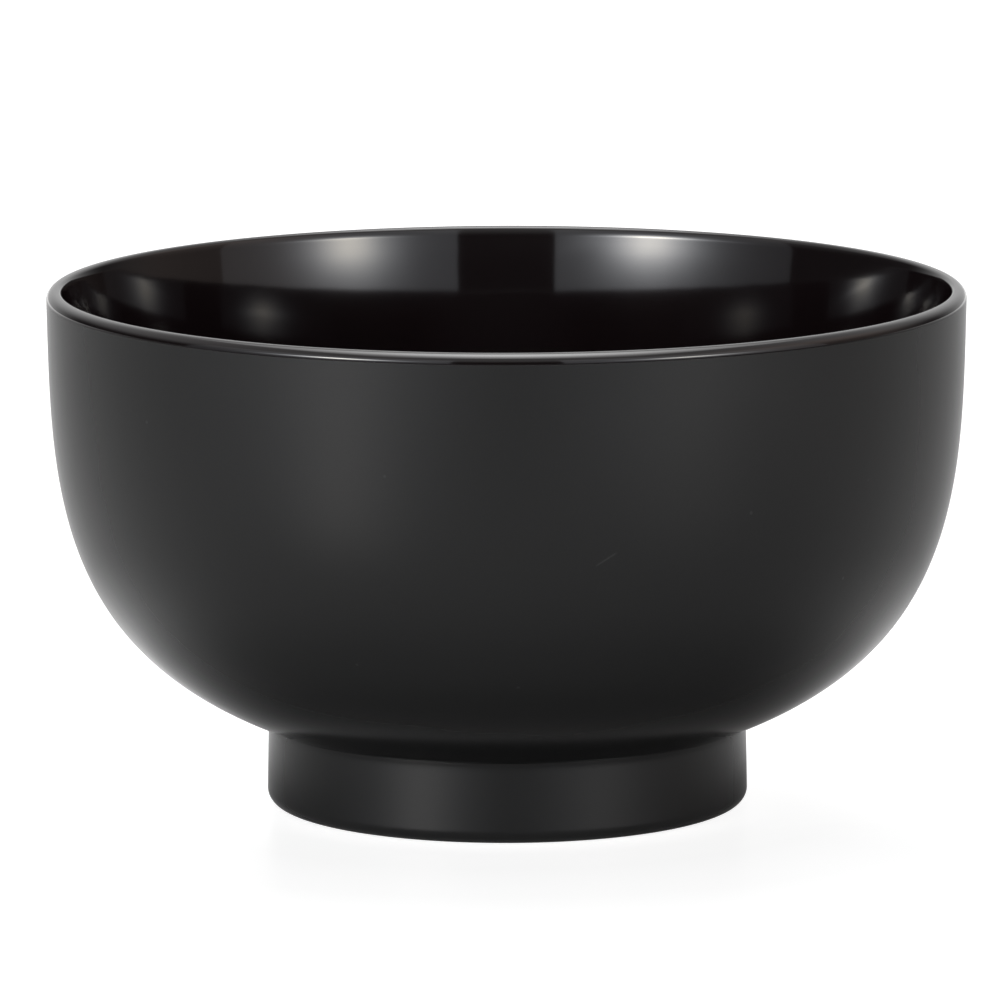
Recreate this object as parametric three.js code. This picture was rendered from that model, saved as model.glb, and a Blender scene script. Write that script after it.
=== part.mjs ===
// Soup bowl in three pieces: a satin outer shell, a gloss inner liner with a rolled lip, and a foot ring.
// Millimetres, +Z up. The origin is the centre of the flat face that the bowl stands on.
import * as THREE from 'three';

const { degToRad } = THREE.MathUtils;

// Overall form
const RIM_DIAMETER = 120;
const OVERALL_HEIGHT = 68;
const WALL_LEAN = degToRad(1.3); // lean of the outer wall from upright, at the rim
const BELLY_SLOPE = degToRad(22.5); // rise of the belly from level, where it leaves the foot
const WALL_FULLNESS = 0.61; // how far the belly curve follows the wall's tangent before it turns
const BELLY_FULLNESS = 0.98; // how far it follows the belly's tangent before it turns

// Walls
const SHELL_EDGE_THICKNESS = 0.9;
const SHELL_BODY_THICKNESS = 2;
const SHELL_FLOOR_THICKNESS = 2.4;
const SHELL_TAPER_LENGTH = 16; // run of wall, from the rim down, in which the edge grows to the body
const LINER_THICKNESS = 1;
const BOND_GAP = 0.3; // film between the shell and the liner
const LIP_SKIRT = 0.25; // straight drop of the lip below its half-round

// Foot
const FOOT_HEIGHT = 10.5;
const FOOT_DIAMETER = 63; // outside, at the bottom
const FOOT_FLARE = 0.15; // how much further out the ring is at the bottom than at the top, on each side
const FOOT_WALL_THICKNESS = 4.2; // at the top
const FOOT_OUTER_CORNER = 1.8; // radius
const FOOT_INNER_CORNER = 0.8; // radius
const SPIGOT_DEPTH = 2.6; // how far the shell's round spigot reaches down into the foot ring
const SPIGOT_CLEARANCE = 0.3;

// Fineness of the facets
const TURN_STEPS = 60;
const WALL_STEPS = 14;
const FLOOR_STEPS = 5;
const LIP_STEPS = 8;
const CORNER_STEPS = 4;

// Places that more than one piece shares
const RIM_RADIUS = RIM_DIAMETER / 2;
const RIM_THICKNESS = SHELL_EDGE_THICKNESS + BOND_GAP + LINER_THICKNESS;
const LIP_RADIUS = RIM_THICKNESS / 2;
const SHELL_TOP = OVERALL_HEIGHT - LIP_RADIUS - LIP_SKIRT;
const FOOT_BOTTOM_RADIUS = FOOT_DIAMETER / 2;
const FOOT_TOP_RADIUS = FOOT_BOTTOM_RADIUS - FOOT_FLARE;
const FOOT_BORE_RADIUS = FOOT_TOP_RADIUS - FOOT_WALL_THICKNESS;
const SPIGOT_RADIUS = FOOT_BORE_RADIUS - SPIGOT_CLEARANCE;
const RECESS_CEILING = FOOT_HEIGHT - SPIGOT_DEPTH;

// Depths of the liner's two faces, measured inwards from the shell's inner face
const LINER_OUTER_FACE = BOND_GAP;
const LINER_INNER_FACE = BOND_GAP + LINER_THICKNESS;

const QUARTER_TURN = Math.PI / 2;
const HALF_TURN = Math.PI;

// Profile points are (radius, height).
const point = (radius, height) => new THREE.Vector2(radius, height);

const satinBlack = () => new THREE.MeshStandardMaterial({ color: 0x1b1b1c, roughness: 0.45, metalness: 0 });
const glossBlack = () => new THREE.MeshStandardMaterial({ color: 0x0c0a0a, roughness: 0.06, metalness: 0 });

// The outside of the bowl, from the shell's top edge down to the foot: one curve between two tangents.
function bellyCurve() {
  const top = point(RIM_RADIUS, SHELL_TOP);
  const bottom = point(FOOT_TOP_RADIUS, FOOT_HEIGHT);
  const inPerDrop = Math.tan(WALL_LEAN);
  const risePerRun = Math.tan(BELLY_SLOPE);
  const dropToSlope = top.y - bottom.y - (top.x - bottom.x) * risePerRun;
  const drop = dropToSlope / (1 - inPerDrop * risePerRun);
  const corner = point(top.x - drop * inPerDrop, top.y - drop);
  const wallHandle = top.clone().lerp(corner, WALL_FULLNESS);
  const bellyHandle = bottom.clone().lerp(corner, BELLY_FULLNESS);
  return new THREE.CubicBezierCurve(top, wallHandle, bellyHandle, bottom);
}

const belly = bellyCurve();
const bellyLength = belly.getLength();

// Thickness of the shell at a distance along the wall from its top edge.
function shellThickness(distance) {
  const left = 1 - Math.min(distance / SHELL_TAPER_LENGTH, 1);
  return SHELL_EDGE_THICKNESS + (SHELL_BODY_THICKNESS - SHELL_EDGE_THICKNESS) * (1 - left * left);
}

// A wall face that follows the belly, from the rim down, at a depth inside the shell's inner face.
function innerWall(depth) {
  const points = [];
  for (let step = 0; step <= WALL_STEPS; step += 1) {
    const share = step / WALL_STEPS;
    const tangent = belly.getTangentAt(share);
    const inwards = point(tangent.y, -tangent.x);
    const distance = shellThickness(share * bellyLength) + depth;
    points.push(belly.getPointAt(share).addScaledVector(inwards, distance));
  }
  points[0].y = SHELL_TOP;
  return points;
}

// The floor that goes on from the foot of a wall face to the axis, where it is level.
function floorFrom(wallFoot, depth) {
  const height = RECESS_CEILING + SHELL_FLOOR_THICKNESS + depth;
  const turn = point(wallFoot.x - (wallFoot.y - height) / Math.tan(BELLY_SLOPE), height);
  const floor = new THREE.QuadraticBezierCurve(wallFoot, turn, point(0, height));
  return floor.getPoints(FLOOR_STEPS).slice(1);
}

// One whole face of a layer, from the rim down to the axis.
function layerFace(depth) {
  const wall = innerWall(depth);
  return [...wall, ...floorFrom(wall[WALL_STEPS], depth)];
}

// A round stretch of a profile, anticlockwise from one angle to another.
function arc(centre, radius, fromAngle, toAngle, steps) {
  const path = new THREE.EllipseCurve(centre.x, centre.y, radius, radius, fromAngle, toAngle);
  return path.getPoints(steps);
}

// Turns a profile about the upright axis. The profile runs up the outside and down the inside.
function turned(name, profile, material) {
  const geometry = new THREE.LatheGeometry(profile, TURN_STEPS);
  geometry.rotateX(QUARTER_TURN);
  const mesh = new THREE.Mesh(geometry, material);
  mesh.name = name;
  return mesh;
}

// Satin shell: the belly, a flat top edge for the lip, and below it a flat seat and a spigot for the foot.
function outerShell() {
  const profile = [
    point(0, RECESS_CEILING),
    point(SPIGOT_RADIUS, RECESS_CEILING),
    point(SPIGOT_RADIUS, FOOT_HEIGHT),
    ...belly.getSpacedPoints(WALL_STEPS).reverse(),
    ...layerFace(0),
  ];
  return turned('outer_shell', profile, satinBlack());
}

// Gloss liner: lies inside the shell and hangs on its top edge by the flange under a half-round lip.
function innerLiner() {
  const lipCentre = point(RIM_RADIUS - LIP_RADIUS, SHELL_TOP + LIP_SKIRT);
  const profile = [
    ...layerFace(LINER_OUTER_FACE).reverse(),
    point(RIM_RADIUS, SHELL_TOP),
    ...arc(lipCentre, LIP_RADIUS, 0, HALF_TURN, LIP_STEPS),
    ...layerFace(LINER_INNER_FACE),
  ];
  return turned('inner_liner', profile, glossBlack());
}

// The radius of one of the foot ring's bottom corners, where two of them leave a flat between them.
function footCorner(radius) {
  const largestShare = 0.45;
  return Math.min(radius, largestShare * (FOOT_BOTTOM_RADIUS - FOOT_BORE_RADIUS));
}

// Foot ring: a straight bore round the spigot, a slightly flared outside and a flat face to stand on.
function footRing() {
  const innerCorner = footCorner(FOOT_INNER_CORNER);
  const outerCorner = footCorner(FOOT_OUTER_CORNER);
  const innerCentre = point(FOOT_BORE_RADIUS + innerCorner, innerCorner);
  const outerCentre = point(FOOT_BOTTOM_RADIUS - outerCorner, outerCorner);
  const profile = [
    point(FOOT_BORE_RADIUS, FOOT_HEIGHT),
    ...arc(innerCentre, innerCorner, HALF_TURN, HALF_TURN + QUARTER_TURN, CORNER_STEPS),
    ...arc(outerCentre, outerCorner, -QUARTER_TURN, 0, CORNER_STEPS),
    point(FOOT_TOP_RADIUS, FOOT_HEIGHT),
    point(FOOT_BORE_RADIUS, FOOT_HEIGHT),
  ];
  return turned('foot_ring', profile, satinBlack());
}

const soupBowl = new THREE.Group();
soupBowl.name = 'soup_bowl';
soupBowl.add(outerShell(), innerLiner(), footRing());

export default soupBowl;
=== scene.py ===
"""Soup bowl: a satin shell, a gloss liner with a rolled lip and a foot ring, on a studio floor."""
import math

import bmesh
import bpy
from bpy.props import FloatProperty, FloatVectorProperty, IntProperty, PointerProperty
from mathutils import Matrix, Vector
from mathutils.geometry import interpolate_bezier


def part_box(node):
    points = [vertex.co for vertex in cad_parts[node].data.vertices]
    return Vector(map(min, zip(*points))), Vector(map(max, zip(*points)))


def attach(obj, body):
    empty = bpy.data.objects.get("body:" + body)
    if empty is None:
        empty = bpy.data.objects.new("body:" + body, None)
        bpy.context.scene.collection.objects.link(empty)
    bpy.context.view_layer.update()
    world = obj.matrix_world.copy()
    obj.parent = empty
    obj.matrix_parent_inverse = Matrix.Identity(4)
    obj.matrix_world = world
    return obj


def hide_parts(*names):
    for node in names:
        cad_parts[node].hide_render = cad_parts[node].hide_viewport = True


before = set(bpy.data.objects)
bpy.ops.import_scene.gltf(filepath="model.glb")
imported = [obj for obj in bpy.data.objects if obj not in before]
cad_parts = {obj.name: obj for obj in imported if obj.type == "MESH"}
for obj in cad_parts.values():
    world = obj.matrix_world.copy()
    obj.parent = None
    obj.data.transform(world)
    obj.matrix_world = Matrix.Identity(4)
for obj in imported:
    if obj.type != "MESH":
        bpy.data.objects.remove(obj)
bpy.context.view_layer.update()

bl_info = {
    "name": "Soup bowl",
    "version": (1, 0, 0),
    "blender": (4, 5, 0),
    "location": "3D View > Sidebar > Soup bowl",
    "description": "Makes a lacquered soup bowl in three pieces on a studio floor",
    "category": "Add Mesh",
}

SHELL_LOW, SHELL_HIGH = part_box("outer_shell")
LINER_LOW, LINER_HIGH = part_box("inner_liner")
FOOT_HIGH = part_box("foot_ring")[1]

MM = 0.001

FULL_TURN = math.tau
HALF_TURN = math.pi
QUARTER_TURN = math.pi / 2

WHITE = (1.0, 1.0, 1.0)

# How much higher than in the frame the belly meets the foot
BELLY_RAISE = 0.16 * MM

# Facets of the small rounds, the foot's side and the studio floor, and those of the inner floor
LIP_OUTER_STEPS = 14
LIP_INNER_STEPS = 12
FOOT_INNER_STEPS = 8
FOOT_OUTER_STEPS = 16
FOOT_SIDE_STEPS = 32
EDGE_STEPS = 4
FLOOR_STEPS = 96
WALL_STEPS_PER_FLOOR_STEP = 3

# Turns between two faces: past the first their edge is broken, past the second it shades as sharp
BROKEN_TURN = math.radians(50)
SHARP_TURN = math.radians(40)
MERGE_DISTANCE = 0.001 * MM

# Satin lacquer: sizes of its marks, and what they do to its colour, its gloss and its face
SATIN_CLOUD = 26 * MM
SATIN_PEEL = 0.9 * MM
SATIN_GRAIN = 0.22 * MM
SATIN_DUST_CELL = 8 * MM
SATIN_DUST_RADIUS = 0.32 * MM
SATIN_MOTTLE = 0.2
SATIN_UNEVENNESS = 0.04
SATIN_PEEL_RISE = 0.5
SATIN_GRAIN_RISE = 0.1
SATIN_RELIEF = 0.008 * MM
RUB_LEAST = 0.4
LOW_ANGLE_FALL = 10.0

# The scuff on the shell: its place across and up, its tilt and its half sizes
SCUFF_MIDDLE = (12.4 * MM, 41.6 * MM)
SCUFF_TILT = math.radians(32)
SCUFF_HALF_LENGTH = 1.7 * MM
SCUFF_HALF_WIDTH = 0.16 * MM

# The rubbed edge of the foot: the heights between which it fades out, and the size of its patches
FOOT_RUB_FADE = (0.1 * MM, 0.9 * MM)
FOOT_RUB_PATCH = 1.5 * MM

# Gloss lacquer: sizes of its marks, and what they do to its colour, its gloss and its face
GLOSS_RIPPLE = 7 * MM
GLOSS_HAZE = 18 * MM
GLOSS_DUST_CELL = 9 * MM
GLOSS_DUST_RADIUS = 0.26 * MM
GLOSS_DUST_RISE = 0.4
GLOSS_MOTTLE = 0.15
GLOSS_UNEVENNESS = 0.01
GLOSS_RELIEF = 0.01 * MM

# The lip dulled by use: the heights between which it sets in, its patches and its roughness
LIP_WEAR_START = (67.0 * MM, 67.9 * MM)
LIP_WEAR_PATCH = 3 * MM
LIP_WEAR_ROUGHNESS = 0.09

# Tones of the floor in front of the bowl and behind it, at distances from the axis in millimetres.
# They are painted light and shade: a painted pool of light beside and behind the bowl, painted
# light in the ring round the foot where the bowl's shadow falls, and painted shade in front.
FLOOR_FRONT_PAINTED_TONES = (
    (30, 0.46), (37, 0.18), (46, 0.118), (64, 0.106), (84, 0.14), (150, 0.125), (300, 0.1),
)
FLOOR_BACK_PAINTED_TONES = (
    (30, 0.55), (43, 0.51), (60, 0.44), (78, 0.47), (95, 0.4),
    (125, 0.29), (175, 0.28), (220, 0.27), (280, 0.27), (380, 0.25),
)
FLOOR_TONE_REACH = 400
FLOOR_INDEX = 1.5

# Parts of a direction, backwards, upwards or to the right, between which a light or a tone sets in
FLOOR_BACK_START = (-0.65, 0.5)
BACKDROP_START = (0.65, 1.05)
CEILING_START = (0.12, 0.6)
WALL_START = (0.5, 0.9)
WALL_END = (0.2, 0.8)

# Share of the far floor's distance at which it starts to turn white
FLOOR_FAR_START = 1 / 3

# How steeply a lamp's glow falls off
GLOW_FALL = 3.0

SENSOR_WIDTH = 36.0
FARTHEST_VIEW = 100.0


def length(name, description, default):
    """A length in metres."""
    return FloatProperty(
        name=name, description=description, default=default, min=0.0, precision=5,
        unit="LENGTH", subtype="DISTANCE",
    )


def angle(name, description, degrees):
    """An angle that is written in degrees."""
    return FloatProperty(
        name=name, description=description, default=math.radians(degrees),
        unit="ROTATION", subtype="ANGLE",
    )


def share(name, description, default):
    """A number from 0 to 1."""
    return FloatProperty(
        name=name, description=description, default=default, min=0.0, max=1.0, subtype="FACTOR"
    )


def amount(name, description, default):
    """A number that may pass 1, such as a brightness, where 1 is white."""
    return FloatProperty(name=name, description=description, default=default, min=0.0)


def colour(name, description, default):
    """A linear colour."""
    return FloatVectorProperty(
        name=name, description=description, default=default, size=3, min=0.0, max=1.0,
        subtype="COLOR",
    )


class SoupBowlShape(bpy.types.PropertyGroup):
    """Sizes of the bowl's three pieces."""

    rim_radius: length("Rim radius", "Outside radius of the shell's top edge", SHELL_HIGH[0])
    lip_top: length("Lip top", "Height of the lip above the table", LINER_HIGH[2])
    shell_top: length("Shell top", "Height of the edge that the lip sits on", SHELL_HIGH[2])
    recess_ceiling: length(
        "Recess ceiling", "Height of the shell's underside, inside the foot", SHELL_LOW[2]
    )
    liner_underside: length("Liner underside", "Lowest height of the liner", LINER_LOW[2])
    foot_height: length(
        "Foot height", "Height at which the foot ring meets the belly", FOOT_HIGH[2] + BELLY_RAISE
    )
    foot_radius: length(
        "Foot radius", "Outside radius of the foot ring at the bottom", FOOT_HIGH[0]
    )
    foot_flare: length("Foot flare", "How much narrower the foot ring is at its top", 0.15 * MM)
    foot_cove: length("Foot cove", "How far the foot ring turns out under the belly", 0.1 * MM)
    cove_run: length("Cove run", "Height in which the foot ring turns out", 0.9 * MM)
    foot_wall: length("Foot wall", "Thickness of the foot ring at its top", 4.2 * MM)
    foot_outer_corner: length("Foot outer corner", "Radius of the corner that shows", 1.8 * MM)
    foot_inner_corner: length(
        "Foot inner corner", "Radius of the corner inside the recess", 0.8 * MM
    )
    spigot_clearance: length(
        "Spigot clearance", "Gap between the spigot and the foot's bore", 0.3 * MM
    )
    wall_lean: angle("Wall lean", "Lean of the wall from upright, at the rim", 1.3)
    belly_slope: angle(
        "Belly slope", "Rise of the belly from level, where it leaves the foot", 20.85
    )
    wall_fullness: amount("Wall fullness", "How far the belly curve follows the wall", 0.507)
    belly_fullness: amount("Belly fullness", "How far the belly curve follows the slope", 1.04)
    shell_edge: length("Shell edge", "Thickness of the shell at its top edge", 0.9 * MM)
    shell_body: length("Shell body", "Thickness of the shell below its taper", 2.1 * MM)
    taper_run: length(
        "Taper run", "Run of wall in which the shell's edge grows to its body", 16.0 * MM
    )
    bond_gap: length("Bond gap", "Film between the shell and the liner", 0.3 * MM)
    liner_wall: length("Liner wall", "Thickness of the liner", 1.0 * MM)
    lip_outer_radius: length("Lip outer radius", "Radius of the lip's outer side", 1.25 * MM)
    lip_inner_radius: length("Lip inner radius", "Radius of the lip's inner side", 0.6 * MM)
    lip_flare: length(
        "Lip flare", "How far the lip's inner side turns out towards the top", 0.15 * MM
    )
    flare_run: length("Flare run", "Height below the lip's top in which it turns out", 1.15 * MM)
    edge_round: length("Edge round", "Radius of the edges that are broken by hand", 0.02 * MM)
    turn_steps: IntProperty(
        name="Turn steps", description="Facets round the bowl", default=192, min=24
    )
    wall_steps: IntProperty(
        name="Wall steps", description="Facets down the wall", default=72, min=12
    )


class SoupBowlFinish(bpy.types.PropertyGroup):
    """Colours and gloss of the lacquers."""

    satin_colour: colour("Satin colour", "Colour of the outside lacquer", (0.0134, 0.0134, 0.0136))
    satin_roughness: share("Satin roughness", "Roughness of the outside lacquer", 0.32)
    satin_sheen: share("Satin sheen", "How much sharper the satin mirrors at a low angle", 0.75)
    dust_colour: colour("Dust colour", "Colour of the specks and scuffs", (0.036, 0.036, 0.036))
    foot_colour: colour("Foot colour", "Colour of the foot's lacquer", (0.0092, 0.0092, 0.0094))
    foot_roughness: share("Foot roughness", "Roughness of the foot's lacquer", 0.36)
    gloss_colour: colour("Gloss colour", "Colour of the inside lacquer", (0.0038, 0.0023, 0.0026))
    gloss_roughness: share("Gloss roughness", "Roughness of the inside lacquer", 0.066)


class SoupBowlStudio(bpy.types.PropertyGroup):
    """Floor, lamps and camera."""

    floor_radius: length("Floor radius", "Size of the round floor", 3.0)
    floor_drop: length("Floor drop", "Gap that keeps the floor clear of the foot", 0.02 * MM)
    # Painted light: the floor's grey is lighter on the left, where the stronger lamp stands, and
    # darker on the right.
    floor_painted_slant: share(
        "Floor slant", "How much lighter the floor is on the left, and darker on the right", 0.16
    )
    floor_roughness: share("Floor roughness", "Roughness of the floor", 0.25)
    floor_polish: share("Floor polish", "How much of a polish the floor has", 0.38)
    polish_slant: share(
        "Polish slant", "How much more polish there is on the left, and less on the right", 0.66
    )
    floor_far: length(
        "Floor far", "Distance behind the bowl from which lacquer too sees white", 1.0
    )
    floor_white: amount("Floor white", "Brightness that the camera sees added on the floor", 0.85)
    backdrop_light: amount("Backdrop light", "Brightness behind the bowl", 0.8)
    ceiling_light: amount("Ceiling light", "Brightness overhead", 0.65)
    room_light: amount("Room light", "Brightness behind the camera", 0.05)
    wall_light: amount("Wall light", "Brightness that the room's right wall adds", 0.24)
    wall_colour: colour("Wall colour", "Colour of the room's right wall", (1.0, 0.86, 0.79))
    lamp_distance: length("Lamp distance", "Distance of the lamps from the bowl's axis", 0.9)
    lamp_bearing: angle("Lamp bearing", "Angle of each lamp from the camera's side", 48.5)
    lamp_width: length("Lamp width", "Width of each lamp", 1.27)
    lamp_height: length("Lamp height", "Height of each lamp", 0.68)
    lamp_foot: length("Lamp foot", "Height of each lamp's lower edge", 0.02)
    lamp_light: amount("Lamp light", "Brightness of a lamp's sheet at its edge by the camera", 0.76)
    lamp_fall: share("Lamp fall", "Share of that brightness lost at the sheet's far edge", 0.6)
    sheet_colour: colour("Sheet colour", "Colour of a lamp's sheet", (0.91, 0.94, 1.0))
    bulb_colour: colour("Bulb colour", "Colour of a bulb's glow", (1.0, 0.95, 0.86))
    bulb_width: length("Bulb width", "Spread of a bulb's glow to the sides", 0.25)
    strip_height: length(
        "Strip height", "Height of the bright strip through each bulb's glow", 0.264
    )
    strip_rise: length("Strip rise", "Spread of the strip's glow up and down", 0.017)
    left_strip_light: amount("Left strip light", "Brightness that the left strip adds", 22.0)
    right_strip_light: amount("Right strip light", "Brightness that the right strip adds", 5.0)
    left_bulb_light: amount("Left bulb light", "Brightness that the left bulb adds", 24.0)
    left_bulb_aside: length(
        "Left bulb aside", "Distance of the left bulb from its sheet's middle", 0.121
    )
    left_bulb_height: length("Left bulb height", "Height of the left bulb", 0.27)
    left_bulb_rise: length("Left bulb rise", "Spread of the left bulb's glow up and down", 0.118)
    right_bulb_light: amount("Right bulb light", "Brightness that the right bulb adds", 13.3)
    right_bulb_aside: length(
        "Right bulb aside", "Distance of the right bulb from its sheet's middle", 0.066
    )
    right_bulb_height: length("Right bulb height", "Height of the right bulb", 0.245)
    right_bulb_rise: length("Right bulb rise", "Spread of the right bulb's glow up and down", 0.125)
    top_light: amount("Top light", "Brightness of the lamp overhead, at its middle", 8.5)
    top_height: length("Top height", "Height of the lamp overhead", 1.2)
    top_back: length("Top back", "How far behind the bowl the lamp overhead hangs", 0.16)
    top_width: length("Top width", "Width of the lamp overhead", 1.2)
    top_length: length("Top length", "Length of the lamp overhead, towards the camera", 1.8)
    top_spread: share("Top spread", "Spread of its glow, as a share of its sides", 0.56)
    camera_distance: length(
        "Camera distance", "Distance of the camera in front of the axis", 1.2787
    )
    camera_height: length("Camera height", "Height of the camera", 0.2504)
    camera_aside: length("Camera aside", "How far the camera stands to the left", 0.895 * MM)
    camera_pitch: angle("Camera pitch", "How far the camera looks down", 9.353)
    camera_roll: angle("Camera roll", "How far the camera is turned about its view", -0.12)
    camera_lens: FloatProperty(
        name="Camera lens", description="Focal length", default=356.4, unit="CAMERA"
    )


class Shade:
    """A socket of a node tree. Arithmetic on it adds Math nodes."""

    def __init__(self, tree, socket=None):
        self.tree = tree
        self.socket = socket

    def node(self, kind, settings, sockets, result=0):
        """Add a node, set it up, fill its sockets and give back one of its results."""
        node = self.tree.nodes.new(kind)
        for name, value in settings.items():
            if name == "stops":
                self.set_stops(node.color_ramp, value)
            else:
                setattr(node, name, value)
        for name, value in sockets.items():
            if isinstance(value, Shade):
                self.tree.links.new(value.socket, node.inputs[name])
            else:
                node.inputs[name].default_value = value
        outputs = node.outputs
        return Shade(self.tree, outputs[result] if len(outputs) else None)

    @staticmethod
    def set_stops(ramp, stops):
        """Give a colour ramp its stops, as pairs of place and grey."""
        while len(ramp.elements) < len(stops):
            ramp.elements.new(1.0)
        for element, (place, grey) in zip(ramp.elements, stops):
            element.position = place
            element.color = (grey, grey, grey, 1.0)

    def beside(self, result):
        """Another result of the node that this socket belongs to."""
        return Shade(self.tree, self.socket.node.outputs[result])

    def math(self, operation, *values):
        """Add a Math node."""
        return self.node("ShaderNodeMath", {"operation": operation}, dict(enumerate(values)))

    def __add__(self, other):
        return self.math("ADD", self, other)

    def __radd__(self, other):
        return self.math("ADD", other, self)

    def __sub__(self, other):
        return self.math("SUBTRACT", self, other)

    def __rsub__(self, other):
        return self.math("SUBTRACT", other, self)

    def __mul__(self, other):
        return self.math("MULTIPLY", self, other)

    def __rmul__(self, other):
        return self.math("MULTIPLY", other, self)

    def __truediv__(self, other):
        return self.math("DIVIDE", self, other)

    def __rtruediv__(self, other):
        return self.math("DIVIDE", other, self)

    def __pow__(self, other):
        return self.math("POWER", self, other)

    def __rpow__(self, other):
        return self.math("POWER", other, self)

    def __gt__(self, other):
        return self.math("GREATER_THAN", self, other)

    def __lt__(self, other):
        return self.math("LESS_THAN", self, other)

    def smooth_step(self, low, high):
        """0 below low, 1 above high and a soft rise between them."""
        settings = {"interpolation_type": "SMOOTHSTEP"}
        sockets = {"Value": self, "From Min": low, "From Max": high, "To Min": 0.0, "To Max": 1.0}
        return self.node("ShaderNodeMapRange", settings, sockets)


def empty_tree(owner):
    """Clear the nodes of a material, world or lamp, and start an expression in them."""
    owner.use_nodes = True
    owner.node_tree.nodes.clear()
    return Shade(owner.node_tree)


def noise(place, size, detail=2.0):
    """Cloudy noise whose lumps are about the given size."""
    sockets = {"Vector": place, "Scale": 1.0 / size, "Detail": detail}
    return place.node("ShaderNodeTexNoise", {}, sockets)


def blend(factor, under, over):
    """One colour laid over another that may vary."""
    if not isinstance(under, Shade):
        under = (*under, 1.0)
    sockets = {0: factor, 6: under, 7: (*over, 1.0)}
    return factor.node("ShaderNodeMix", {"data_type": "RGBA"}, sockets, result=2)


def mottled(pattern, base, spread):
    """A colour that a pattern makes darker and lighter by a share of itself."""
    return blend(pattern, scaled(base, 1.0 - spread), scaled(base, 1.0 + spread))


def bump(height, depth):
    """A normal for a height from 0 to 1 that stands for a real depth."""
    return height.node("ShaderNodeBump", {}, {"Strength": 1.0, "Distance": depth, "Height": height})


def scaled(values, factor):
    """A colour made lighter or darker."""
    return tuple(value * factor for value in values)


def specks(place, cell, reach):
    """Round specks of a given reach, 1 in their middle, each somewhere in a cell of its own."""
    sockets = {"Vector": place, "Scale": 1.0 / cell, "Randomness": 1.0}
    distance = place.node("ShaderNodeTexVoronoi", {"feature": "F1"}, sockets, "Distance")
    full_share = 0.4
    return 1.0 - distance.smooth_step(full_share * reach / cell, reach / cell)


def scuff(place, middle, tilt, half_length, half_width):
    """A short straight rub on the front of the wall, 1 along its middle line."""
    across = place.node("ShaderNodeSeparateXYZ", {}, {0: place}, "X")
    right = across - middle[0]
    up = across.beside("Z") - middle[1]
    along = right.math("ABSOLUTE", right * math.cos(tilt) + up * math.sin(tilt))
    beside = right.math("ABSOLUTE", up * math.cos(tilt) - right * math.sin(tilt))
    full_width = 0.3 * half_width
    full_length = 0.7 * half_length
    line = 1.0 - beside.smooth_step(full_width, half_width)
    stretch = 1.0 - along.smooth_step(full_length, half_length)
    in_front = across.beside("Y") < 0.0
    return line * stretch * in_front


def low_angle(start):
    """0 where a surface is seen squarely, nearly 1 where it is seen at a low angle."""
    squarely = 1.0 - start.node("ShaderNodeLayerWeight", {}, {}, "Facing")
    return math.e ** (squarely * squarely * -LOW_ANGLE_FALL)


def satin_lacquer(name, base, roughness, finish, rub):
    """Sprayed satin, uneven in gloss, with a fine peel, specks of dust and a rubbed place."""
    material = bpy.data.materials.new(name)
    start = empty_tree(material)
    place = start.node("ShaderNodeTexCoord", {}, {}, "Object")
    cloud = noise(place, SATIN_CLOUD, detail=3.0)
    peel = noise(place, SATIN_PEEL, detail=1.0)
    grain = noise(place, SATIN_GRAIN)
    dust = specks(place, SATIN_DUST_CELL, SATIN_DUST_RADIUS)
    worn = dust.math("MAXIMUM", dust, rub(place) * (RUB_LEAST + grain))
    sprayed = mottled(grain, base, SATIN_MOTTLE)
    matt = roughness - SATIN_UNEVENNESS + cloud * (2.0 * SATIN_UNEVENNESS)
    relief = peel * SATIN_PEEL_RISE + grain * SATIN_GRAIN_RISE + dust
    lacquer = start.node("ShaderNodeBsdfPrincipled", {}, {
        "Base Color": blend(worn, sprayed, finish.dust_colour),
        "Roughness": matt * (1.0 - low_angle(start) * finish.satin_sheen),
        "Normal": bump(relief, SATIN_RELIEF),
    })
    start.node("ShaderNodeOutputMaterial", {}, {"Surface": lacquer})
    return material


def wall_rub(place):
    """The scuff on the front of the shell."""
    return scuff(place, SCUFF_MIDDLE, SCUFF_TILT, SCUFF_HALF_LENGTH, SCUFF_HALF_WIDTH)


def foot_rub(place):
    """The rubbed edge that the foot stands on."""
    height = place.node("ShaderNodeSeparateXYZ", {}, {0: place}, "Z")
    return (1.0 - height.smooth_step(*FOOT_RUB_FADE)) * noise(place, FOOT_RUB_PATCH)


def gloss_lacquer(name, finish):
    """Poured gloss, almost a mirror, with a slow ripple, specks of dust and a lip dulled by use."""
    material = bpy.data.materials.new(name)
    start = empty_tree(material)
    place = start.node("ShaderNodeTexCoord", {}, {}, "Object")
    ripple = noise(place, GLOSS_RIPPLE, detail=1.0)
    haze = noise(place, GLOSS_HAZE, detail=3.0)
    dust = specks(place, GLOSS_DUST_CELL, GLOSS_DUST_RADIUS)
    height = place.node("ShaderNodeSeparateXYZ", {}, {0: place}, "Z")
    used = height.smooth_step(*LIP_WEAR_START) * noise(place, LIP_WEAR_PATCH)
    black = mottled(haze, finish.gloss_colour, GLOSS_MOTTLE)
    matt = finish.gloss_roughness - GLOSS_UNEVENNESS + haze * (2.0 * GLOSS_UNEVENNESS)
    lacquer = start.node("ShaderNodeBsdfPrincipled", {}, {
        "Base Color": blend(dust, black, finish.dust_colour),
        "Roughness": matt + used * LIP_WEAR_ROUGHNESS,
        "Normal": bump(ripple + dust * GLOSS_DUST_RISE, GLOSS_RELIEF),
    })
    start.node("ShaderNodeOutputMaterial", {}, {"Surface": lacquer})
    return material


def at(radius, height):
    """A point of a profile, in the plane that faces +X."""
    return Vector((radius, 0.0, height))


def arc(centre, radius, start, end, steps):
    """A round stretch of a profile, anticlockwise from one angle to another."""
    turns = [start + (end - start) * step / steps for step in range(steps + 1)]
    return [centre + at(radius * math.cos(turn), radius * math.sin(turn)) for turn in turns]


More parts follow.
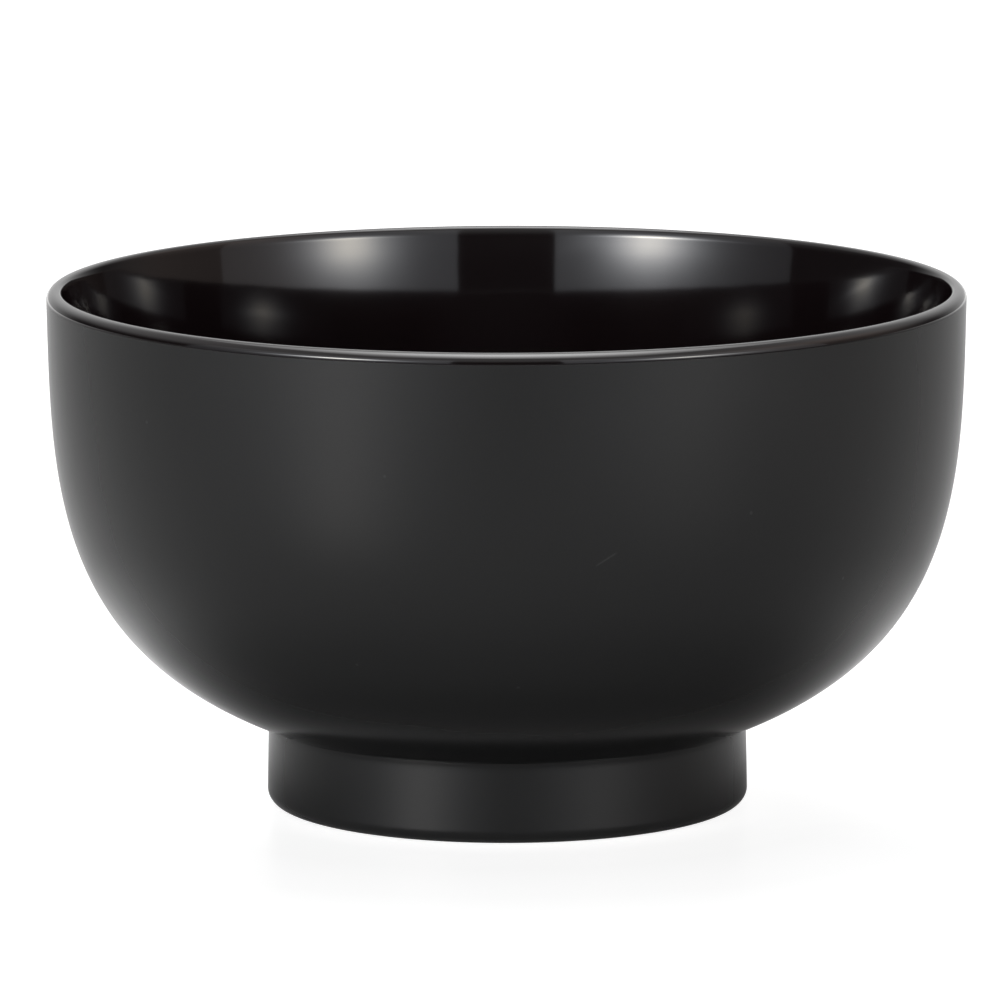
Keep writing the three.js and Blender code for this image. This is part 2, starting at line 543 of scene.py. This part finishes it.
def belly_points(shape):
    """The outside of the bowl, from the shell's top edge down to the foot."""
    top = at(shape.rim_radius, shape.shell_top)
    bottom = at(foot_side(shape, shape.foot_height), shape.foot_height)
    in_per_drop = math.tan(shape.wall_lean)
    rise_per_run = math.tan(shape.belly_slope)
    drop_to_slope = top.z - bottom.z - (top.x - bottom.x) * rise_per_run
    drop = drop_to_slope / (1.0 - in_per_drop * rise_per_run)
    corner = at(top.x - drop * in_per_drop, top.z - drop)
    wall_handle = top.lerp(corner, shape.wall_fullness)
    belly_handle = bottom.lerp(corner, shape.belly_fullness)
    return interpolate_bezier(top, wall_handle, belly_handle, bottom, shape.wall_steps + 1)


def shell_thickness(shape, distance):
    """Thickness of the shell at a distance along the wall from its top edge."""
    left = 1.0 - min(distance / shape.taper_run, 1.0)
    return shape.shell_edge + (shape.shell_body - shape.shell_edge) * (1.0 - left * left)


def layer_face(shape, depth):
    """A face that follows the belly from rim to axis, at a depth inside the shell's inner face."""
    outside = belly_points(shape)
    face = []
    run = 0.0
    earlier = outside[:1] + outside
    later = outside[1:] + outside[-1:]
    for before, here, after in zip(earlier, outside, later):
        run += (here - before).length
        along = (after - before).normalized()
        inwards = at(along.z, -along.x)
        face.append(here + inwards * (shell_thickness(shape, run) + depth))
    face[0].z = shape.shell_top
    wall_foot = face[-1]
    floor_height = shape.liner_underside - shape.bond_gap + depth
    run_in = (wall_foot.z - floor_height) / math.tan(shape.belly_slope)
    turn = at(wall_foot.x - run_in, floor_height)
    middle = at(0.0, floor_height)
    pull = 2 / 3  # gives a parabola
    wall_handle = wall_foot.lerp(turn, pull)
    floor_handle = middle.lerp(turn, pull)
    steps = shape.wall_steps // WALL_STEPS_PER_FLOOR_STEP
    return face + interpolate_bezier(wall_foot, wall_handle, floor_handle, middle, steps)[1:]


def shell_profile(shape):
    """Underside and spigot, then up the belly and down the inside."""
    spigot = foot_bore(shape) - shape.spigot_clearance
    underneath = [
        at(0.0, shape.recess_ceiling),
        at(spigot, shape.recess_ceiling),
        at(spigot, shape.foot_height),
    ]
    return underneath + belly_points(shape)[::-1] + layer_face(shape, 0.0)


def lip_side(shape, gloss, height):
    """Radius of the lip's inner side, which goes on from the gloss face and turns out on top."""
    upper, lower = gloss[1], gloss[2]
    out_per_rise = (upper.x - lower.x) / (upper.z - lower.z)
    into_flare = max(0.0, 1.0 - (shape.lip_top - height) / shape.flare_run)
    return upper.x + (height - upper.z) * out_per_rise + shape.lip_flare * into_flare**2


def liner_profile(shape):
    """Up the hidden side, out under the flange, over the lip and down the gloss side."""
    hidden = layer_face(shape, shape.bond_gap)[::-1]
    gloss = layer_face(shape, shape.bond_gap + shape.liner_wall)
    outer = shape.lip_outer_radius
    inner = shape.lip_inner_radius
    outer_centre = at(shape.rim_radius - outer, shape.lip_top - outer)
    inner_height = shape.lip_top - inner
    little = 0.05 * MM
    below = lip_side(shape, gloss, inner_height)
    above = lip_side(shape, gloss, inner_height + little)
    lean = math.atan2(above - below, little)
    side_top = inner_height + inner * math.sin(lean)
    inner_centre = at(lip_side(shape, gloss, side_top) + inner * math.cos(lean), inner_height)
    lip = arc(outer_centre, outer, 0.0, QUARTER_TURN, LIP_OUTER_STEPS)
    lip += arc(inner_centre, inner, QUARTER_TURN, HALF_TURN - lean, LIP_INNER_STEPS)
    shares = [step / LIP_INNER_STEPS for step in range(1, LIP_INNER_STEPS)]
    heights = [side_top + (gloss[1].z - side_top) * share_down for share_down in shares]
    side = [at(lip_side(shape, gloss, height), height) for height in heights]
    return hidden + [at(shape.rim_radius, shape.shell_top)] + lip + side + gloss[1:]


def foot_side(shape, height):
    """Outside radius of the foot ring at a height above its round corner."""
    up = (height - shape.foot_outer_corner) / (shape.foot_height - shape.foot_outer_corner)
    into_cove = max(0.0, 1.0 - (shape.foot_height - height) / shape.cove_run)
    return shape.foot_radius - shape.foot_flare * up + shape.foot_cove * into_cove**2


def foot_bore(shape):
    """Radius of the hole through the foot ring."""
    return shape.foot_radius - shape.foot_flare - shape.foot_wall


def foot_profile(shape):
    """Down the bore, across the standing face and up the outside."""
    bore = foot_bore(shape)
    inner = shape.foot_inner_corner
    outer = shape.foot_outer_corner
    inner_centre = at(bore + inner, inner)
    outer_centre = at(shape.foot_radius - outer, outer)
    inner_end = HALF_TURN + QUARTER_TURN
    inner_corner = arc(inner_centre, inner, HALF_TURN, inner_end, FOOT_INNER_STEPS)
    outer_corner = arc(outer_centre, outer, -QUARTER_TURN, 0.0, FOOT_OUTER_STEPS)
    shares = [step / FOOT_SIDE_STEPS for step in range(1, FOOT_SIDE_STEPS + 1)]
    heights = [outer + (shape.foot_height - outer) * share_up for share_up in shares]
    outside = [at(foot_side(shape, height), height) for height in heights]
    return inner_corner + outer_corner + outside + [at(bore, shape.foot_height), inner_corner[0]]


def turned_mesh(name, profile, shape):
    """Spin a profile about the upright axis into a closed mesh, and break its sharp edges."""
    bm = bmesh.new()
    points = [bm.verts.new(point) for point in profile]
    lines = [bm.edges.new(pair) for pair in zip(points, points[1:])]
    bmesh.ops.spin(
        bm, geom=points + lines, cent=(0.0, 0.0, 0.0), axis=(0.0, 0.0, 1.0), dvec=(0.0, 0.0, 0.0),
        angle=FULL_TURN, steps=shape.turn_steps,
        use_merge=True, use_normal_flip=False, use_duplicate=False,
    )
    bmesh.ops.remove_doubles(bm, verts=bm.verts, dist=MERGE_DISTANCE)
    bmesh.ops.recalc_face_normals(bm, faces=bm.faces)
    closed = [edge for edge in bm.edges if edge.is_manifold]
    corners = [edge for edge in closed if edge.calc_face_angle() > BROKEN_TURN]
    bmesh.ops.bevel(
        bm, geom=corners, offset=shape.edge_round, offset_type="OFFSET", segments=EDGE_STEPS,
        profile=0.5, affect="EDGES", material=-1, clamp_overlap=True,
    )
    if any(not edge.is_manifold for edge in bm.edges):
        raise RuntimeError(f"{name} is not a closed solid")
    mesh = bpy.data.meshes.new(name)
    bm.to_mesh(mesh)
    bm.free()
    mesh.shade_smooth()
    mesh.set_sharp_from_angle(angle=SHARP_TURN)
    return mesh


def place_piece(mesh, material, node):
    """Put a finished piece in the scene, in the place of a node of the frame."""
    mesh.materials.append(material)
    piece = bpy.data.objects.new(mesh.name, mesh)
    bpy.context.scene.collection.objects.link(piece)
    normals = piece.modifiers.new("Even normals", "WEIGHTED_NORMAL")
    normals.keep_sharp = True
    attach(piece, "root")
    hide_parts(node)


class SOUPBOWL_OT_outer_shell(bpy.types.Operator):
    """Make the satin shell"""

    bl_idname = "soup_bowl.outer_shell"
    bl_label = "Make outer shell"

    def execute(self, context):
        shape = context.scene.soup_bowl_shape
        finish = context.scene.soup_bowl_finish
        mesh = turned_mesh("satin_shell", shell_profile(shape), shape)
        lacquer = satin_lacquer(
            "satin lacquer", finish.satin_colour, finish.satin_roughness, finish, wall_rub
        )
        place_piece(mesh, lacquer, "outer_shell")
        return {"FINISHED"}


class SOUPBOWL_OT_inner_liner(bpy.types.Operator):
    """Make the gloss liner with its lip"""

    bl_idname = "soup_bowl.inner_liner"
    bl_label = "Make inner liner"

    def execute(self, context):
        shape = context.scene.soup_bowl_shape
        finish = context.scene.soup_bowl_finish
        mesh = turned_mesh("gloss_liner", liner_profile(shape), shape)
        place_piece(mesh, gloss_lacquer("gloss lacquer", finish), "inner_liner")
        return {"FINISHED"}


class SOUPBOWL_OT_foot_ring(bpy.types.Operator):
    """Make the foot ring"""

    bl_idname = "soup_bowl.foot_ring"
    bl_label = "Make foot ring"

    def execute(self, context):
        shape = context.scene.soup_bowl_shape
        finish = context.scene.soup_bowl_finish
        mesh = turned_mesh("satin_foot", foot_profile(shape), shape)
        lacquer = satin_lacquer(
            "foot lacquer", finish.foot_colour, finish.foot_roughness, finish, foot_rub
        )
        place_piece(mesh, lacquer, "foot_ring")
        return {"FINISHED"}


def floor_tone_with_painted_light(place, behind):
    """Floor grey with painted light and shade, by distance from the bowl and towards the back."""
    distance = place.node("ShaderNodeVectorMath", {"operation": "LENGTH"}, {0: place}, "Value")
    reach = distance / (FLOOR_TONE_REACH * MM)
    greys = []
    for tones in (FLOOR_FRONT_PAINTED_TONES, FLOOR_BACK_PAINTED_TONES):
        stops = [(far / FLOOR_TONE_REACH, tone) for far, tone in tones]
        greys.append(reach.node("ShaderNodeValToRGB", {"stops": stops}, {0: reach}))
    front, back = greys
    return (back - front) * behind + front


def seen_directly(ray):
    """1 for what the camera sees itself or through a clear thing."""
    return ray.math("MAXIMUM", ray, ray.beside("Is Transmission Ray"))


def pale_floor(studio):
    """A polished board that the camera sees as white, and that is clear from below."""
    material = bpy.data.materials.new("pale floor")
    start = empty_tree(material)
    place = start.node("ShaderNodeTexCoord", {}, {}, "Object")
    bearing = place.node("ShaderNodeVectorMath", {"operation": "NORMALIZE"}, {0: place})
    to_side = place.node("ShaderNodeSeparateXYZ", {}, {0: bearing}, "X")
    behind = to_side.beside("Y").smooth_step(*FLOOR_BACK_START)
    # Painted light and shade: the floor's grey holds a painted pool of light, and the slant paints
    # it lighter on the left and darker on the right.
    tone = floor_tone_with_painted_light(place, behind) * (1.0 - to_side * studio.floor_painted_slant)
    matt = start.node("ShaderNodeBsdfDiffuse", {}, {"Color": tone})
    polish = start.node("ShaderNodeBsdfGlossy", {}, {"Roughness": studio.floor_roughness})
    mirror = start.node("ShaderNodeFresnel", {}, {"IOR": FLOOR_INDEX}) * studio.floor_polish
    gloss = mirror * (1.0 - to_side * studio.polish_slant)
    board = start.node("ShaderNodeMixShader", {}, {0: gloss, 1: matt, 2: polish})
    to_back = start.node("ShaderNodeSeparateXYZ", {}, {0: place}, "Y")
    far = to_back.smooth_step(studio.floor_far * FLOOR_FAR_START, studio.floor_far)
    ray = start.node("ShaderNodeLightPath", {}, {}, "Is Camera Ray")
    direct = seen_directly(ray)
    white = direct.math("MAXIMUM", direct, ray.beside("Is Glossy Ray") * far) * studio.floor_white
    light = start.node("ShaderNodeEmission", {}, {"Color": (*WHITE, 1.0), "Strength": white})
    above = start.node("ShaderNodeAddShader", {}, {0: board, 1: light})
    clear = start.node("ShaderNodeBsdfTransparent", {}, {})
    below = start.node("ShaderNodeNewGeometry", {}, {}, "Backfacing")
    surface = start.node("ShaderNodeMixShader", {}, {0: below, 1: above, 2: clear})
    start.node("ShaderNodeOutputMaterial", {}, {"Surface": surface})
    return material


def add_floor(context, studio):
    """A round floor just under the foot."""
    bm = bmesh.new()
    bmesh.ops.create_circle(bm, cap_ends=True, segments=FLOOR_STEPS, radius=studio.floor_radius)
    bmesh.ops.translate(bm, verts=bm.verts, vec=(0.0, 0.0, -studio.floor_drop))
    mesh = bpy.data.meshes.new("floor")
    bm.to_mesh(mesh)
    bm.free()
    mesh.materials.append(pale_floor(studio))
    floor = bpy.data.objects.new("floor", mesh)
    context.scene.collection.objects.link(floor)


def add_world(context, studio):
    """White for the camera. For the lacquer, a bright backdrop, a dim ceiling and a dark room."""
    world = bpy.data.worlds.new("studio")
    context.scene.world = world
    start = empty_tree(world)
    direction = start.node("ShaderNodeTexCoord", {}, {}, "Generated")
    to_back = start.node("ShaderNodeSeparateXYZ", {}, {0: direction}, "Y")
    backdrop_gain = studio.backdrop_light - studio.room_light
    backdrop = to_back.smooth_step(*BACKDROP_START) * backdrop_gain
    ceiling = to_back.beside("Z").smooth_step(*CEILING_START) * studio.ceiling_light
    on_right = to_back.beside("X").smooth_step(*WALL_START)
    wall = on_right * (1.0 - to_back.smooth_step(*WALL_END))
    lacquer_sees = studio.room_light + backdrop + ceiling + wall * studio.wall_light
    direct = seen_directly(start.node("ShaderNodeLightPath", {}, {}, "Is Camera Ray"))
    strength = direct.math("MAXIMUM", direct, lacquer_sees)
    hue = blend(wall * (1.0 - direct), WHITE, studio.wall_colour)
    background = start.node("ShaderNodeBackground", {}, {"Color": hue, "Strength": strength})
    start.node("ShaderNodeOutputWorld", {}, {"Surface": background})


def add_sheet_lamp(context, name, width, height, stand):
    """A soft sheet that shines to one side. Gives back the places on the sheet, from 0 to 1."""
    lamp = bpy.data.lights.new(name, "AREA")
    lamp.shape = "RECTANGLE"
    lamp.size = width
    lamp.size_y = height
    lamp.energy = math.pi * width * height
    start = empty_tree(lamp)
    sheet = start.node("ShaderNodeNewGeometry", {}, {}, "Parametric")
    across = start.node("ShaderNodeSeparateXYZ", {}, {0: sheet}, "X")
    holder = bpy.data.objects.new(name, lamp)
    context.scene.collection.objects.link(holder)
    holder.visible_camera = False
    holder.matrix_world = stand
    return across, across.beside("Y")


def glow(across, up):
    """A soft round spot, 1 in its middle, from distances counted in its own spread."""
    return (across * across + up * up + 1.0) ** -GLOW_FALL


def shine(strength, hue):
    """Let a lamp shine with a brightness and a colour that may vary over its sheet."""
    emission = strength.node("ShaderNodeEmission", {}, {"Color": hue, "Strength": strength})
    strength.node("ShaderNodeOutputLight", {}, {"Surface": emission})


def add_side_lamp(
    context, studio, name, side, bulb_light, bulb_aside, bulb_height, bulb_rise, strip_light
):
    """A sheet in front of the bowl, with a bulb and a bright strip that glow through it.

    Side is -1 for the left and 1 for the right.
    """
    turn = Matrix.Rotation(side * studio.lamp_bearing, 4, "Z")
    middle_height = studio.lamp_foot + studio.lamp_height / 2
    middle = Matrix.Translation((0.0, -studio.lamp_distance, middle_height))
    stand = turn @ middle @ Matrix.Rotation(QUARTER_TURN, 4, "X")
    across, up = add_sheet_lamp(context, name, studio.lamp_width, studio.lamp_height, stand)
    outwards = (across - 0.5) * side
    sheet_light = (1.0 - studio.lamp_fall * (outwards + 0.5)) * studio.lamp_light
    bulb_up = (bulb_height - studio.lamp_foot) / studio.lamp_height
    from_bulb = (outwards * studio.lamp_width + bulb_aside) / studio.bulb_width
    above_bulb = (up - bulb_up) * (studio.lamp_height / bulb_rise)
    spot = glow(from_bulb, above_bulb)
    strip_up = (studio.strip_height - studio.lamp_foot) / studio.lamp_height
    strip = glow(from_bulb, (up - strip_up) * (studio.lamp_height / studio.strip_rise))
    brightness = sheet_light + spot * bulb_light + strip * strip_light
    shine(brightness, blend(spot, studio.sheet_colour, studio.bulb_colour))


def add_top_lamp(context, studio):
    """A sheet over the bowl, brightest in its middle."""
    stand = Matrix.Translation((0.0, studio.top_back, studio.top_height))
    across, up = add_sheet_lamp(context, "top lamp", studio.top_width, studio.top_length, stand)
    spot = glow((across - 0.5) / studio.top_spread, (up - 0.5) / studio.top_spread)
    shine(spot * studio.top_light, (*WHITE, 1.0))


def add_camera(context, studio):
    """A long lens in front of the bowl, looking slightly down."""
    lens = bpy.data.cameras.new("camera")
    lens.sensor_width = SENSOR_WIDTH
    lens.lens = studio.camera_lens
    lens.clip_end = FARTHEST_VIEW
    camera = bpy.data.objects.new("camera", lens)
    context.scene.collection.objects.link(camera)
    place = (-studio.camera_aside, -studio.camera_distance, studio.camera_height)
    stand = Matrix.Translation(place)
    tilt = Matrix.Rotation(QUARTER_TURN - studio.camera_pitch, 4, "X")
    roll = Matrix.Rotation(studio.camera_roll, 4, "Z")
    camera.matrix_world = stand @ tilt @ roll
    context.scene.camera = camera


class SOUPBOWL_OT_stage(bpy.types.Operator):
    """Make the floor, the lamps, the backdrop light and the camera"""

    bl_idname = "soup_bowl.stage"
    bl_label = "Make stage"

    def execute(self, context):
        studio = context.scene.soup_bowl_studio
        add_floor(context, studio)
        add_world(context, studio)
        add_side_lamp(
            context, studio, "left lamp", -1, studio.left_bulb_light, studio.left_bulb_aside,
            studio.left_bulb_height, studio.left_bulb_rise, studio.left_strip_light,
        )
        add_side_lamp(
            context, studio, "right lamp", 1, studio.right_bulb_light, studio.right_bulb_aside,
            studio.right_bulb_height, studio.right_bulb_rise, studio.right_strip_light,
        )
        add_top_lamp(context, studio)
        add_camera(context, studio)
        context.scene.view_settings.view_transform = "Standard"
        return {"FINISHED"}


class SOUPBOWL_PT_sidebar(bpy.types.Panel):
    """Sizes, finishes and steps of the soup bowl"""

    bl_idname = "SOUPBOWL_PT_sidebar"
    bl_label = "Soup bowl"
    bl_space_type = "VIEW_3D"
    bl_region_type = "UI"
    bl_category = "Soup bowl"

    def draw(self, context):
        layout = self.layout
        for operator in OPERATORS:
            layout.operator(operator.bl_idname)
        for group_name, group in GROUPS.items():
            settings = getattr(context.scene, group_name)
            column = layout.column()
            for setting in group.__annotations__:
                column.prop(settings, setting)


OPERATORS = (
    SOUPBOWL_OT_outer_shell,
    SOUPBOWL_OT_inner_liner,
    SOUPBOWL_OT_foot_ring,
    SOUPBOWL_OT_stage,
)
GROUPS = {
    "soup_bowl_shape": SoupBowlShape,
    "soup_bowl_finish": SoupBowlFinish,
    "soup_bowl_studio": SoupBowlStudio,
}
CLASSES = (*GROUPS.values(), *OPERATORS, SOUPBOWL_PT_sidebar)


def register():
    for cls in CLASSES:
        bpy.utils.register_class(cls)
    for group_name, group in GROUPS.items():
        setattr(bpy.types.Scene, group_name, PointerProperty(type=group))


def unregister():
    for group_name in GROUPS:
        delattr(bpy.types.Scene, group_name)
    for cls in reversed(CLASSES):
        bpy.utils.unregister_class(cls)


def main():
    register()
    bpy.ops.soup_bowl.outer_shell()
    bpy.ops.soup_bowl.inner_liner()
    bpy.ops.soup_bowl.foot_ring()
    bpy.ops.soup_bowl.stage()


if __name__ == "__main__":
    main()
